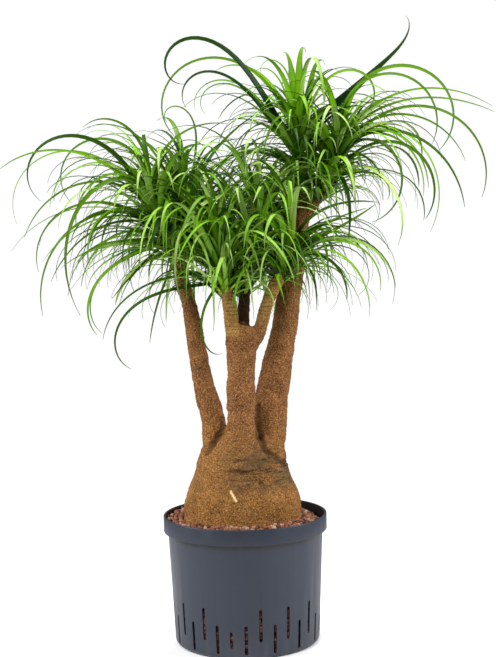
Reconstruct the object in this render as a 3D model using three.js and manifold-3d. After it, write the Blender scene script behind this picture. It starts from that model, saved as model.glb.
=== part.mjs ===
// A potted ponytail palm: a swollen base with three trunks and seven heads of strap leaves,
// standing in expanded clay granules in a slotted culture pot.
// Units are millimetres, +Z is up, and the origin is the middle of the pot's underside.
// The plant is seen from its front along +Y, with +X to the right.

import * as THREE from 'three';
import Module from 'manifold-3d';

const wasm = await Module();
wasm.setup();

// Pot
const potHeight = 307;
const rimRadius = 193;
const rimInnerRadius = 187.5;
const bandHeight = 37;
const bodyTopRadius = 183;
const bodyFootRadius = 171.5;
const wall = 3;
const footRound = 14;
const potSides = 64;
const slotWidth = 7.5;
const slotInset = 9;
const slotDepth = 34;
const slotPitch = 22.5;
const firstUpperSlot = 10.25;
const firstLowerSlot = -1;
const upperSlot = { low: 41, high: 118 };
const lowerSlot = { low: 12, high: 80 };
const shortSlot = { low: 27, high: 66 };
const shortSlotEvery = 4;

// Clay granules
const seatGap = 0.35;
const clayLevel = 292;
const clayLean = 11;
const clayFront = -3;
const clayHeap = 11;
const granuleRelief = 3.5;
const granuleSeed = 7;
const clayRows = 2;
const clayStraight = 267;
const clayEdge = 271;
const holeTop = 279;
const holeMargin = 1.2;

// Swollen base: height, middle along X, half width along X
const baseProfile = [
  [197, -4, 62],
  [207, -4, 92],
  [225, -5, 119],
  [247, -5.5, 136],
  [273, -5.5, 142],
  [304, -4.5, 139.5],
  [350, -5, 133],
  [395, -5, 116],
  [440, -3, 104],
  [466, -2, 96],
  [483, -1, 78],
  [493, 0, 50],
];
const baseDepthShare = 0.9;
const baseSides = 26;

// Leafy heads: where the leafy part of the stem starts and ends, and how its leaves stand
const heads = [
  { name: 'leaf_head_left_outer', foot: [-160, 34, 941], top: [-205, 12, 1042], radius: 18,
    leaves: 33, leafLength: 330, lowestRise: 14, turn: 20 },
  { name: 'leaf_head_left_inner', foot: [-134, 70, 918], top: [-122, 84, 1020], radius: 18,
    leaves: 33, leafLength: 400, lowestRise: 26, turn: 75 },
  { name: 'leaf_head_middle_left', foot: [-35, -46, 853], top: [-52, -60, 965], radius: 16,
    leaves: 30, leafLength: 370, lowestRise: 36, turn: 130 },
  { name: 'leaf_head_middle_back', foot: [14, 12, 846], top: [54, 0, 972], radius: 15.5,
    leaves: 30, leafLength: 420, lowestRise: 44, turn: 190 },
  { name: 'leaf_head_middle_right', foot: [102, -44, 880], top: [134, -52, 972], radius: 17,
    leaves: 30, leafLength: 330, lowestRise: 30, turn: 245 },
  { name: 'leaf_head_right_upper', foot: [145, 66, 1090], top: [149, 76, 1203], radius: 18,
    leaves: 32, leafLength: 310, lowestRise: 30, turn: 300 },
  { name: 'leaf_head_right_outer', foot: [200, 49, 1062], top: [251, 40, 1174], radius: 17,
    leaves: 32, leafLength: 310, lowestRise: 26, turn: 350 },
];

// Woody limbs: x, y, z and radius of each station, and the head that the limb's end carries
const limbSides = 8;
const limbs = [
  { stations: [[-62, 26, 442, 34], [-73, 36, 532, 29], [-93, 42, 624, 23.5], [-107, 46, 713, 22],
    [-121, 49, 801, 18.5], [-138, 50, 862, 17.5]], head: null },
  { stations: [[-132, 50, 842, 15], [-145, 46, 897, 16]], head: 0 },
  { stations: [[-132, 50, 838, 15], [-136, 60, 878, 16]], head: 1 },
  { stations: [[-8, -44, 430, 64], [-7, -46, 464, 54], [-5, -46, 502, 47], [-3, -46, 545, 38],
    [-2, -46, 632, 32.5], [0, -45, 680, 34], [3, -43, 728, 39], [6, -40, 757, 30]], head: null },
  { stations: [[-12, -44, 702, 22], [-20, -45, 757, 18], [-24, -46, 807, 17]], head: 2 },
  { stations: [[4, -34, 702, 22], [6, -8, 777, 14.5]], head: 3 },
  { stations: [[16, -44, 702, 22], [39, -44, 735, 16.5], [61, -44, 803, 15], [80, -44, 846, 16]],
    head: 4 },
  { stations: [[56, 22, 437, 38], [65, 38, 531, 41], [78, 46, 619, 38], [97, 52, 707, 32.5],
    [112, 56, 795, 29.5], [130, 60, 882, 25.5], [147, 62, 1002, 21], [151, 62, 1022, 19]],
    head: null },
  { stations: [[147, 62, 996, 17], [146, 64, 1047, 17]], head: 5 },
  { stations: [[144, 62, 987, 17], [172, 56, 1028, 15.5]], head: 6 },
];

// Leaves: a leaf starts at a share of its head's length, points along an azimuth about Z, rises at
// an angle, then bends down, faster towards its tip where curl is high, and may swing sideways.
const blade = {
  width: 16, widest: 0.14, rootShare: 0.66, thinning: 0.62, keelShare: 0.13, leastKeel: 0.9,
  segments: 5, fineSteps: 60,
};
const goldenAngle = 137.508;
const coreSides = 6;
const coreTopShare = 0.35;
const rootDepthShare = 0.55;
const lowestLeaf = 0.12;
const highestLeaf = 0.96;
const youngRise = 78;
const oldBend = 125;
const youngBend = 130;
const youngLength = 0.85;
const leafSpread = { azimuth: 12, rise: 10, bend: 30, swing: 30, twist: 16 };
const skipEvery = 3;

// Leaves that stand out from the front roll their upper face towards it where they point aside.
const front = {
  thinning: 0.5, broadLeaf: 15, broadThinning: 0.85, roll: 65, twist: 8, segments: 6, seed: 5000,
  azimuth: 4, rise: 2,
};
const leafSeed = 1000;
const leafTries = 36;
const triesPerTrim = 9;
const trimShare = 0.88;
const looseFrom = 0.2;
const woodFrom = 0.12;

// Front leaves: head, height on it, azimuth, rise, bend, curl, length, width
const frontLeaves = [
  [0, 0.75, 190, 67, 210, 2, 500, 16],
  [0, 0.7, 195, 61, 100, 1.3, 435, 9],
  [0, 0.6, 170, 63, 175, 1.6, 535, 6],
  [0, 0.55, 195, 80, 150, 0.8, 410, 8],
  [0, 0.45, 185, 40, 145, 1.4, 405, 8],
  [0, 0.35, 200, 55, 156, 0.8, 460, 8],
  [0, 0.55, 215, 95, 195, 1, 370, 8],
  [0, 0.3, 195, 70, 135, 0.5, 330, 7],
  [0, 0.3, 170, 66, 120, 0.55, 340, 6],
  [0, 0.65, 220, 140, 262, 0.5, 560, 16],
  [0, 0.1, 200, -16, 116, 2.2, 325, 10],
  [0, 0.15, 190, -19, 120, 2.2, 320, 7],
  [0, 0.2, 170, -17, 64, 3, 235, 6],
  [0, 0.1, 225, -30, 10, 1, 210, 7],
  [0, 0.85, 160, 93, 134, 1.9, 335, 10],
  [0, 0.8, 175, 95, 230, 1.4, 450, 9],
  [0, 0.85, 145, 85, 118, 1.8, 260, 8],
  [0, 0.6, 160, 80, 157, 1.2, 385, 5],
  [0, 0.2, 185, -2, 90, 4, 235, 7],
  [0, 0.4, 200, 34, 120, 1.8, 265, 7],
  [0, 0.6, 185, 62, 83, 2.4, 260, 20],
  [0, 0.2, 220, 25, 105, 1.2, 300, 8],
  [0, 0.35, 225, 51, 146, 1.2, 315, 8],
  [0, 0.9, 5, 105, 115, 1, 310, 9],
  [0, 0.03, 185, 12, 50, 1.2, 260, 15],
  [1, 0.05, 220, -50, 30, 1, 230, 7],
  [1, 0.3, 255, 10, 95, 0.6, 250, 9],
  [1, 0.9, 190, 102, 243, 5, 340, 8],
  [1, 0.6, 290, 125, 190, 0.9, 325, 10],
  [1, 0.9, 350, 85, 55, 0.8, 300, 12],
  [1, 0.03, 215, 5, 80, 1.2, 230, 14],
  [2, 0.06, 230, -30, 160, 1.6, 240, 7],
  [2, 0.25, 195, 2, 82, 1.8, 340, 7],
  [2, 0.06, 195, -4, 150, 2.6, 385, 9],
  [2, 0.7, 235, 85, 200, 1, 280, 9],
  [2, 0.8, 230, 100, 66, 1.3, 140, 20],
  [3, 0.8, 195, 78, 57, 0.7, 370, 9],
  [3, 0.8, 215, 150, 262, 0.55, 480, 12],
  [3, 0.8, 270, 82, 110, 3, 250, 22],
  [3, 0.9, 255, 103, 228, 2.5, 375, 12],
  [4, 0.8, 210, 86, 166, 3, 270, 22],
  [4, 0.8, 355, 92, 102, 0.5, 225, 9],
  [4, 0.6, 350, 21, -14, 1.3, 215, 10],
  [4, 0.7, 10, 47, 34, 0.5, 190, 7],
  [4, 0.45, 355, 32, 119, 1.3, 305, 10],
  [4, 0.4, 5, 35, 136, 1.3, 290, 8],
  [4, 0.15, 335, 60, 158, 0.8, 220, 10],
  [5, 0.55, 200, 60, 262, 3.7, 565, 23],
  [5, 0.45, 205, 54, 183, 3.6, 435, 20],
  [5, 0.6, 185, 77, 222, 1.7, 595, 9],
  [5, 0.7, 160, 75, 107, 2.1, 320, 10],
  [5, 0.4, 170, 63, 173, 3, 385, 7],
  [5, 0.42, 175, 60, 198, 3.5, 365, 7],
  [5, 0.85, 115, 80, 90, 8, 230, 33],
  [5, 0.9, 100, 77, 290, 5, 255, 12],
  [5, 0.95, 70, 89, 170, 7, 242, 33],
  [5, 0.9, 280, 88, 178, 1.3, 440, 14.5],
  [5, 0.85, 50, 72, 180, 9, 235, 26],
  [5, 0.7, 300, 65, 221, 5, 205, 23],
  [5, 0.6, 335, 80, 215, 2.3, 370, 12],
  [5, 0.95, 350, 39, -95, 10, 385, 28],
  [5, 0.8, 150, 86, 215, 4.2, 275, 6],
  [5, 0.7, 145, 78, 120, 3.9, 250, 6],
  [6, 0.81, 355, 98, 235, 1.25, 555, 12],
  [6, 0.85, 340, 108, 226, 1.1, 475, 10],
  [6, 0.69, 345, 99, 125, 0.5, 430, 8],
  [6, 0.73, 10, 86, 118, 0.7, 455, 7],
  [6, 0.62, 340, 60, 172, 1.25, 545, 9],
  [6, 0.54, 355, 81, 152, 0.9, 405, 8],
  [6, 0.46, 335, 83, 166, 0.7, 450, 10],
  [6, 0.35, 325, 44, 176, 1.5, 425, 11],
  [6, 0.58, 5, 112, 230, 0.6, 480, 8],
  [6, 0.5, 335, 87, 186, 0.8, 350, 8],
  [6, 0.56, 330, 84, 174, 0.8, 350, 9],
  [6, 0.31, 310, 68, 129, 0.9, 205, 9],
  [6, 0.28, 325, 10, 137, 3.2, 200, 7],
  [6, 0.62, 335, 80, 244, 0.8, 370, 8],
  [6, 0.62, 335, 71, 67, 1.3, 225, 25],
  [6, 0.46, 330, 64, 89, 1.5, 220, 24],
  [6, 0.5, 310, 76, 60, 1.5, 190, 26],
];

// Space kept free round the leaves of other heads
const cell = 6;
const sampleStep = 4;
const sideMargin = 2;
const markedOffsets = [-4, 0, 4];
const testedOffsets = [-1.5, 1.5];
const cellOrigin = 300;
const cellSpan = 1000;
const woodMargin = 5;
const woodMark = -1;

const radians = THREE.MathUtils.degToRad;
const mix = THREE.MathUtils.lerp;

function seeded(seed) {
  let state = seed >>> 0;
  return () => {
    state = (state + 0x6d2b79f5) >>> 0;
    let bits = Math.imul(state ^ (state >>> 15), state | 1);
    bits = (bits ^ (bits + Math.imul(bits ^ (bits >>> 7), bits | 61))) >>> 0;
    return ((bits ^ (bits >>> 14)) >>> 0) / 4294967296;
  };
}

function spread(draw, range) {
  return (2 * draw() - 1) * range;
}

function vector([x, y, z]) {
  return new THREE.Vector3(x, y, z);
}

// Closed solids and joins

function solid(points, triangles) {
  const vertProperties = new Float32Array(points.flatMap((point) => point.toArray()));
  const triVerts = new Uint32Array(triangles.flat());
  return new wasm.Manifold(new wasm.Mesh({ numProp: 3, vertProperties, triVerts }));
}

// Rings run counter-clockwise about the way the loft goes. A tip point closes the far end.
function loft(rings, tip = null) {
  const sides = rings[0].length;
  const points = rings.flat();
  const triangles = [];
  for (let ring = 0; ring < rings.length - 1; ring += 1) {
    for (let side = 0; side < sides; side += 1) {
      const next = (side + 1) % sides;
      const a = ring * sides + side;
      const b = ring * sides + next;
      triangles.push([a, b, b + sides], [a, b + sides, a + sides]);
    }
  }
  for (let side = 1; side < sides - 1; side += 1) {
    triangles.push([0, side + 1, side]);
  }
  const last = (rings.length - 1) * sides;
  if (tip) {
    points.push(tip);
    for (let side = 0; side < sides; side += 1) {
      triangles.push([last + side, last + (side + 1) % sides, points.length - 1]);
    }
  } else {
    for (let side = 1; side < sides - 1; side += 1) {
      triangles.push([last, last + side, last + side + 1]);
    }
  }
  return solid(points, triangles);
}

// The pieces as one closed body, without the scraps that a join may leave inside it.
function joined(solids) {
  const whole = solids.reduce((sum, next) => sum.add(next));
  const shells = whole.decompose();
  return shells.reduce((best, next) => (next.volume() > best.volume() ? next : best));
}

function geometryOf(body) {
  const mesh = body.getMesh();
  const geometry = new THREE.BufferGeometry();
  geometry.setAttribute('position', new THREE.BufferAttribute(mesh.vertProperties, 3));
  geometry.setIndex(new THREE.BufferAttribute(mesh.triVerts, 1));
  geometry.computeVertexNormals();
  return geometry;
}

function node(name, body, colour, roughness) {
  const material = new THREE.MeshStandardMaterial({ color: colour, roughness, metalness: 0 });
  const mesh = new THREE.Mesh(geometryOf(body), material);
  mesh.name = name;
  return mesh;
}

// Angles about Z are counted from the front of the plant towards +X.
function frontAngle(degrees) {
  return radians(degrees - 90);
}

// The corners of the round walls start here, so each slot is cut in the middle of a flat side.
const sideStart = firstLowerSlot + 180 / potSides;

function levelRing(sides, startDegrees, pointAt) {
  return Array.from({ length: sides }, (unused, side) => {
    const angle = frontAngle(startDegrees + (360 * side) / sides);
    const [radius, height] = pointAt(angle);
    return new THREE.Vector3(radius * Math.cos(angle), radius * Math.sin(angle), height);
  });
}

// Pot

function potProfile() {
  const outside = [[bodyFootRadius - footRound, 0]];
  for (const step of [1, 2]) {
    const turn = radians(45 * step);
    outside.push([
      bodyFootRadius - footRound * (1 - Math.sin(turn)),
      footRound * (1 - Math.cos(turn)),
    ]);
  }
  outside.push(
    [bodyTopRadius, potHeight - bandHeight],
    [rimRadius, potHeight - bandHeight],
    [rimRadius, potHeight],
  );
  const inside = [
    [rimInnerRadius, potHeight],
    [rimInnerRadius, potHeight - bandHeight + wall],
    [innerRadius(potHeight - bandHeight), potHeight - bandHeight],
    [innerRadius(footRound), footRound],
    [bodyFootRadius - footRound, wall],
  ];
  return [...outside, ...inside];
}

function innerRadius(height) {
  const share = (height - footRound) / (potHeight - bandHeight - footRound);
  return mix(bodyFootRadius, bodyTopRadius, share) - wall;
}

function slotCutter(degrees, slot) {
  const height = slot.high - slot.low;
  const box = new THREE.BoxGeometry(slotDepth, slotWidth, height).toNonIndexed();
  box.translate(bodyFootRadius - slotInset + slotDepth / 2, 0, slot.low + height / 2);
  box.rotateZ(frontAngle(degrees));
  return boxSolid(box);
}

function boxSolid(box) {
  const position = box.getAttribute('position');
  const points = [];
  const triangles = [];
  const known = new Map();
  for (let corner = 0; corner < position.count; corner += 1) {
    const point = new THREE.Vector3().fromBufferAttribute(position, corner);
    const key = point.toArray().map((value) => value.toFixed(3)).join();
    if (!known.has(key)) {
      known.set(key, points.length);
      points.push(point);
    }
    if (corner % 3 === 0) {
      triangles.push([]);
    }
    triangles.at(-1).push(known.get(key));
  }
  return solid(points, triangles);
}

function pot() {
  const rings = potProfile().map(([radius, height]) =>
    levelRing(potSides, sideStart, () => [radius, height]));
  let body = loft(rings);
  for (let slot = 0; slot < 360 / slotPitch; slot += 1) {
    const isShort = slot % shortSlotEvery === shortSlotEvery - 1;
    const upper = isShort ? shortSlot : upperSlot;
    body = body.subtract(slotCutter(firstUpperSlot + slotPitch * slot, upper));
    body = body.subtract(slotCutter(firstLowerSlot + slotPitch * slot, lowerSlot));
  }
  return body;
}

// Swollen base and clay

function baseSection(height) {
  const upper = baseProfile.findIndex((row) => row[0] >= height);
  if (upper <= 0) {
    return baseProfile[0].slice(1);
  }
  const [lowHeight, lowMiddle, lowHalf] = baseProfile[upper - 1];
  const [highHeight, highMiddle, highHalf] = baseProfile[upper];
  const share = (height - lowHeight) / (highHeight - lowHeight);
  return [mix(lowMiddle, highMiddle, share), mix(lowHalf, highHalf, share)];
}

function baseRing(sides, startDegrees, height, margin) {
  const [middle, half] = baseSection(height);
  return Array.from({ length: sides }, (unused, side) => {
    const angle = frontAngle(startDegrees + (360 * side) / sides);
    return new THREE.Vector3(
      middle + (half + margin) * Math.cos(angle),
      (half * baseDepthShare + margin) * Math.sin(angle),
      height,
    );
  });
}

function claySurface(angle) {
  return clayLevel - clayLean * Math.cos(angle) - clayFront * Math.sin(angle);
}

function clay() {
  const draw = seeded(granuleSeed);
  const holeFloor = baseProfile[0][0] - seatGap;
  const wallGap = seatGap / Math.cos(radians(180 / potSides));
  const outer = (height) => innerRadius(height) - wallGap;
  const rings = [
    [bodyFootRadius - footRound - wall, wall + seatGap],
    [outer(footRound) - 2 * seatGap, footRound],
    [outer(clayStraight), clayStraight],
  ].map((place) => levelRing(potSides, sideStart, () => place));
  const top = levelRing(potSides, sideStart, (angle) => [outer(clayEdge), claySurface(angle)]);
  const hole = baseRing(potSides, sideStart, holeTop, holeMargin);
  for (let row = 0; row <= clayRows; row += 1) {
    const share = row / clayRows;
    rings.push(top.map((point, side) => {
      const bump = spread(draw, granuleRelief);
      const placed = point.clone().lerp(hole[side], share);
      const angle = Math.atan2(placed.y, placed.x);
      placed.z = mix(claySurface(angle), clayLevel + clayHeap, share) + bump;
      return placed;
    }));
  }
  const sunk = baseProfile.map(([height]) => height).filter((height) => height <= holeTop);
  for (const height of [...sunk.slice(1).reverse(), holeFloor]) {
    rings.push(baseRing(potSides, sideStart, height, holeMargin));
  }
  return loft(rings);
}

// Trunks

function sectionRing(centre, along, radius, sides) {
  const across = new THREE.Vector3(0, 1, 0).cross(along).normalize();
  const other = along.clone().cross(across).normalize();
  return Array.from({ length: sides }, (unused, side) => {
    const angle = radians((360 * side) / sides);
    return centre.clone()
      .addScaledVector(across, radius * Math.cos(angle))
      .addScaledVector(other, radius * Math.sin(angle));
  });
}

function headAxis(head) {
  return vector(head.top).sub(vector(head.foot)).normalize();
}

function limb({ stations, head }) {
  const centres = stations.map(vector);
  const radii = stations.map((station) => station[3]);
  const ways = centres.map((centre, index) => {
    const before = centres[Math.max(index - 1, 0)];
    const after = centres[Math.min(index + 1, centres.length - 1)];
    return after.clone().sub(before).normalize();
  });
  if (head !== null) {
    centres.push(vector(heads[head].foot));
    radii.push(heads[head].radius - 1);
    ways.push(headAxis(heads[head]));
  }
  return loft(centres.map((centre, index) =>
    sectionRing(centre, ways[index], radii[index], limbSides)));
}

function trunk() {
  const base = loft(baseProfile.map(([height]) => baseRing(baseSides, 0, height, 0)));
  return joined([base, ...limbs.map(limb)]);
}

// Leaves

function widthShare(along, thinning) {
  if (along < blade.widest) {
    return mix(blade.rootShare, 1, Math.sin((along / blade.widest) * (Math.PI / 2)));
  }
  return (1 - (along - blade.widest) / (1 - blade.widest)) ** thinning;
}

function leafWay(leaf, along) {
  const azimuth = radians(leaf.azimuth + leaf.swing * along * along);
  const rise = radians(leaf.rise - leaf.bend * along ** leaf.curl);
  return { azimuth, rise };
}

function leafLine(head, leaf) {
  const core = vector(head.foot).lerp(vector(head.top), leaf.height);
  const coreRadius = head.radius * mix(1, coreTopShare, leaf.height);
  const start = radians(leaf.azimuth);
  const point = core.clone().add(new THREE.Vector3(Math.cos(start), Math.sin(start), 0)
    .multiplyScalar(coreRadius * rootDepthShare));
  const line = [point.clone()];
  const step = leaf.length / blade.fineSteps;
  for (let fine = 0; fine < blade.fineSteps; fine += 1) {
    const { azimuth, rise } = leafWay(leaf, (fine + 0.5) / blade.fineSteps);
    point.x += step * Math.cos(rise) * Math.cos(azimuth);
    point.y += step * Math.cos(rise) * Math.sin(azimuth);
    point.z += step * Math.sin(rise);
    line.push(point.clone());
  }
  return line;
}

// Stations lie closer together where the leaf bends faster.
function stationShare(leaf, station) {
  let low = 0;
  let high = 1;
  for (let halving = 0; halving < 30; halving += 1) {
    const middle = (low + high) / 2;
    if (0.5 * middle + 0.5 * middle ** leaf.curl < station / leaf.segments) {
      low = middle;
    } else {
      high = middle;
    }
  }
  return (low + high) / 2;
}

function leafStations(head, leaf) {
  const line = leafLine(head, leaf);
  return Array.from({ length: leaf.segments + 1 }, (unused, station) => {
    const along = stationShare(leaf, station);
    const place = along * blade.fineSteps;
    const index = Math.min(Math.floor(place), blade.fineSteps - 1);
    const centre = line[index].clone().lerp(line[index + 1], place - index);
    const { azimuth, rise } = leafWay(leaf, along);
    const level = new THREE.Vector3(-Math.sin(azimuth), Math.cos(azimuth), 0);
    const upper = new THREE.Vector3(
      -Math.sin(rise) * Math.cos(azimuth),
      -Math.sin(rise) * Math.sin(azimuth),
      Math.cos(rise),
    );
    const twist = radians(leaf.roll + leaf.twist * along);
    const across = level.clone().multiplyScalar(Math.cos(twist))
      .addScaledVector(upper, Math.sin(twist));
    const normal = upper.clone().multiplyScalar(Math.cos(twist))
      .addScaledVector(level, -Math.sin(twist));
    const halfWidth = (leaf.width / 2) * widthShare(along, leaf.thinning);
    return { along, centre, across, normal, halfWidth };
  });
}

function keelOf(halfWidth) {
  return Math.max(blade.leastKeel, 2 * halfWidth * blade.keelShare);
}

function leafSolid(stations) {
  const rings = stations.slice(0, -1).map(({ centre, across, normal, halfWidth }) => [
    centre.clone().addScaledVector(across, halfWidth),
    centre.clone().addScaledVector(across, -halfWidth),
    centre.clone().addScaledVector(normal, -keelOf(halfWidth)),
  ]);
  return loft(rings, stations.at(-1).centre);
}

// The space that the wood and the leaves take, in small cells

const taken = new Map();
const looseCells = heads.map(() => new Set());

function cellAt(point) {
  const column = Math.floor(point.x / cell) + cellOrigin;
  const row = Math.floor(point.y / cell) + cellOrigin;
  const layer = Math.floor(point.z / cell) + cellOrigin;
  return (column * cellSpan + row) * cellSpan + layer;
}

function eachSample(stations, offsets, visit) {
  for (let index = 0; index < stations.length - 1; index += 1) {
    const from = stations[index];
    const to = stations[index + 1];
    const steps = Math.ceil(from.centre.distanceTo(to.centre) / sampleStep);
    for (let step = 0; step < steps; step += 1) {
      const share = step / steps;
      const centre = from.centre.clone().lerp(to.centre, share);
      const across = from.across.clone().lerp(to.across, share);
      const normal = from.normal.clone().lerp(to.normal, share);
      const reach = mix(from.halfWidth, to.halfWidth, share) + sideMargin;
      const along = mix(from.along, to.along, share);
      const sides = Math.ceil((2 * reach) / sampleStep);
      for (let side = 0; side <= sides; side += 1) {
        const aside = reach * ((2 * side) / sides - 1);
        for (const offset of offsets) {
          const point = centre.clone().addScaledVector(across, aside)
            .addScaledVector(normal, offset);
          if (visit(cellAt(point), along)) {
            return true;
          }
        }
      }
    }
  }
  return false;
}

function crosses(headNumber, stations, mayFuse) {
  return eachSample(stations, testedOffsets, (key, along) => {
    const owner = taken.get(key);
    if (owner === woodMark) {
      return along > woodFrom;
    }
    if (owner !== undefined && owner !== headNumber) {
      return true;
    }
    return !mayFuse && along > looseFrom && looseCells[headNumber].has(key);
  });
}

function mark(headNumber, stations) {
  eachSample(stations, markedOffsets, (key, along) => {
    if (!taken.has(key)) {
      taken.set(key, headNumber);
    }
    if (along > looseFrom) {
      looseCells[headNumber].add(key);
    }
    return false;
  });
}

function markRod(from, to, fromRadius, toRadius, owner) {
  const steps = Math.ceil(from.distanceTo(to) / cell);
  for (let step = 0; step <= steps; step += 1) {
    const centre = from.clone().lerp(to, step / steps);
    const reach = mix(fromRadius, toRadius, step / steps) + woodMargin;
    for (let x = -reach; x <= reach; x += sampleStep) {
      for (let y = -reach; y <= reach; y += sampleStep) {
        for (let z = -reach; z <= reach; z += sampleStep) {
          if (x * x + y * y + z * z <= reach * reach) {
            const point = centre.clone().add(new THREE.Vector3(x, y, z));
            taken.set(cellAt(point), owner);
          }
        }
      }
    }
  }
}

function markWood() {
  for (const { stations, head } of limbs) {
    const centres = stations.map(vector);
    const radii = stations.map((station) => station[3]);
    if (head !== null) {
      centres.push(vector(heads[head].foot));
      radii.push(heads[head].radius);
    }
    for (let index = 0; index < centres.length - 1; index += 1) {
      markRod(centres[index], centres[index + 1], radii[index], radii[index + 1], woodMark);
    }
  }
  heads.forEach((head, number) => {
    markRod(vector(head.foot), vector(head.top), head.radius, head.radius / 2, number);
  });
}

function drawnLeaf(head, number, draw, tries) {
  const youth = number / (head.leaves - 1);
  return {
    height: mix(lowestLeaf, highestLeaf, youth),
    azimuth: head.turn + goldenAngle * number + spread(draw, leafSpread.azimuth + 3 * tries),
    rise: mix(head.lowestRise, youngRise, youth ** 0.8) + spread(draw, leafSpread.rise + tries),
    bend: mix(oldBend, youngBend, youth) + spread(draw, leafSpread.bend),
    curl: 1.1 + 1.2 * draw(),
    length: head.leafLength * mix(1, youngLength, youth ** 3) * (0.82 + 0.36 * draw()),
    swing: spread(draw, leafSpread.swing),
    twist: spread(draw, leafSpread.twist),
    width: blade.width * (0.85 + 0.3 * draw()),
    roll: 0,
    thinning: blade.thinning,
    segments: blade.segments,
    mayFuse: false,
  };
}

function frontLeaf([, height, azimuth, rise, bend, curl, length, width], draw, tries) {
  const nudge = Math.min(tries, 4);
  return {
    height,
    twist: spread(draw, front.twist),
    azimuth: azimuth + spread(draw, front.azimuth) * nudge,
    rise: rise + spread(draw, front.rise) * nudge,
    bend,
    curl,
    length,
    swing: 0,
    width,
    roll: front.roll * Math.cos(radians(azimuth)),
    thinning: width < front.broadLeaf ? front.thinning : front.broadThinning,
    segments: front.segments,
    mayFuse: true,
  };
}

function placedLeaf(headNumber, seed, makeLeaf) {
  const draw = seeded(seed);
  for (let tries = 0; tries < leafTries; tries += 1) {
    const leaf = makeLeaf(draw, tries);
    leaf.length *= trimShare ** Math.floor(tries / triesPerTrim);
    const stations = leafStations(heads[headNumber], leaf);
    if (!crosses(headNumber, stations, leaf.mayFuse)) {
      mark(headNumber, stations);
      return leafSolid(stations);
    }
  }
  return null;
}

function allLeaves() {
  const leaves = heads.map(() => []);
  frontLeaves.forEach((row, index) => {
    const number = row[0];
    leaves[number].push(placedLeaf(number, front.seed + index,
      (draw, tries) => frontLeaf(row, draw, tries)));
  });
  const most = Math.max(...heads.map((head) => head.leaves));
  for (let index = most - 1; index >= 0; index -= 1) {
    heads.forEach((head, number) => {
      if (index < head.leaves && index % skipEvery > 0) {
        leaves[number].push(placedLeaf(number, leafSeed * (number + 1) + index,
          (draw, tries) => drawnLeaf(head, index, draw, tries)));
      }
    });
  }
  return leaves.map((list) => list.filter((leaf) => leaf !== null));
}

function core(head) {
  const axis = headAxis(head);
  const foot = vector(head.foot).addScaledVector(axis, seatGap);
  const top = vector(head.top);
  const rings = [[0, 1], [1, coreTopShare]].map(([share, size]) =>
    sectionRing(foot.clone().lerp(top, share), axis, head.radius * size, coreSides));
  return loft(rings);
}

const plant = new THREE.Group();
plant.add(node('pot', pot(), 0x4d545f, 0.55));
plant.add(node('clay_granules', clay(), 0xa5502c, 0.95));
plant.add(node('trunk', trunk(), 0x8a5f3a, 0.9));
markWood();
const leafSolids = allLeaves();
heads.forEach((head, number) => {
  const body = joined([core(head), ...leafSolids[number]]);
  plant.add(node(head.name, body, 0x4f9a1e, 0.5));
});

export default plant;
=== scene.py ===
# A potted ponytail palm: a swollen base with three forked trunks and seven heads of strap
# leaves, standing in clay granules in a slotted culture pot.
# Metres, +Z up. The plant's front looks along -Y, and +X is to its right.

import math
from itertools import chain

import bpy
from mathutils import Matrix, Vector, kdtree, noise


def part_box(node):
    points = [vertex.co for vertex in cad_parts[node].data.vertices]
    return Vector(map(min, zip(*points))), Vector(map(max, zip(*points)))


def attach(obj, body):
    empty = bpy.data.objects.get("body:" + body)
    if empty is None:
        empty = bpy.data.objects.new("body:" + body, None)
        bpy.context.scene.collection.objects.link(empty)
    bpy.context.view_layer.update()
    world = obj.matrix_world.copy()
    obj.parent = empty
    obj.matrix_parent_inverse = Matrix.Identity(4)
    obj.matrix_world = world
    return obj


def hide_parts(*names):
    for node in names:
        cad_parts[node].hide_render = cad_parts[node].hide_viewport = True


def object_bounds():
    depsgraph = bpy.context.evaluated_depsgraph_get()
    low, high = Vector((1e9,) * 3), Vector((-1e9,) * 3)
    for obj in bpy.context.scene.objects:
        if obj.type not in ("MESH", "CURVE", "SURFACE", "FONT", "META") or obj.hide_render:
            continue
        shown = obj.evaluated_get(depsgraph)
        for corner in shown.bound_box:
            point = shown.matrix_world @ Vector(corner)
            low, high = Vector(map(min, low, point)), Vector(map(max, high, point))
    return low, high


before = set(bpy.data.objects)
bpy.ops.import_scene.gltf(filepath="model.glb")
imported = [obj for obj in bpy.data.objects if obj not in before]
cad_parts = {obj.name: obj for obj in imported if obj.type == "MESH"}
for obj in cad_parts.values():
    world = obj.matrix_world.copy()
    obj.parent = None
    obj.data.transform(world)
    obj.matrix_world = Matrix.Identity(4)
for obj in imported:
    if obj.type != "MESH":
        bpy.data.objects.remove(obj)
cad_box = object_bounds()

# Pot
_, pot_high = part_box("pot")
pot_height = pot_high.z
rim_radius = pot_high.x
rim_inner_radius = rim_radius - 0.0055
band_height = 0.037
band_low = pot_height - band_height
body_top_radius = rim_radius - 0.010
body_foot_radius = rim_radius - 0.0215
wall = 0.003
foot_round = 0.014
foot_steps = 5
edge_round = 0.0014
pot_sides = 180
slot_width = 0.0075
slot_depth = 0.034
slot_inset = 0.009
slot_end_share = 0.49
slot_pitch = 22.5
slot_kinds = {
    "upper": (0.041, 0.118),
    "lower": (0.012, 0.080),
    "short": (0.027, 0.066),
}
first_upper_slot = 10.25
first_lower_slot = -1
short_slot_every = 4

# Pot finish and painted shade: between which heights or radii one look passes into the next
# Painted shade: above these heights the band's outside is painted darker and bluer, and the
# painted shadow under the band stops
band_blend = (band_low + 0.0002, band_low + 0.0012)
# Painted shade: the inside wall above the clay is painted near black within this radius
inside_blend = (rim_inner_radius + 0.0005, rim_inner_radius + 0.0017)
# Painted shadow: the strip under the band's overhang is painted near black from these heights up
shade_blend = (band_low - 0.014, band_low - 0.006)
dust_height = 0.06

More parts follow.
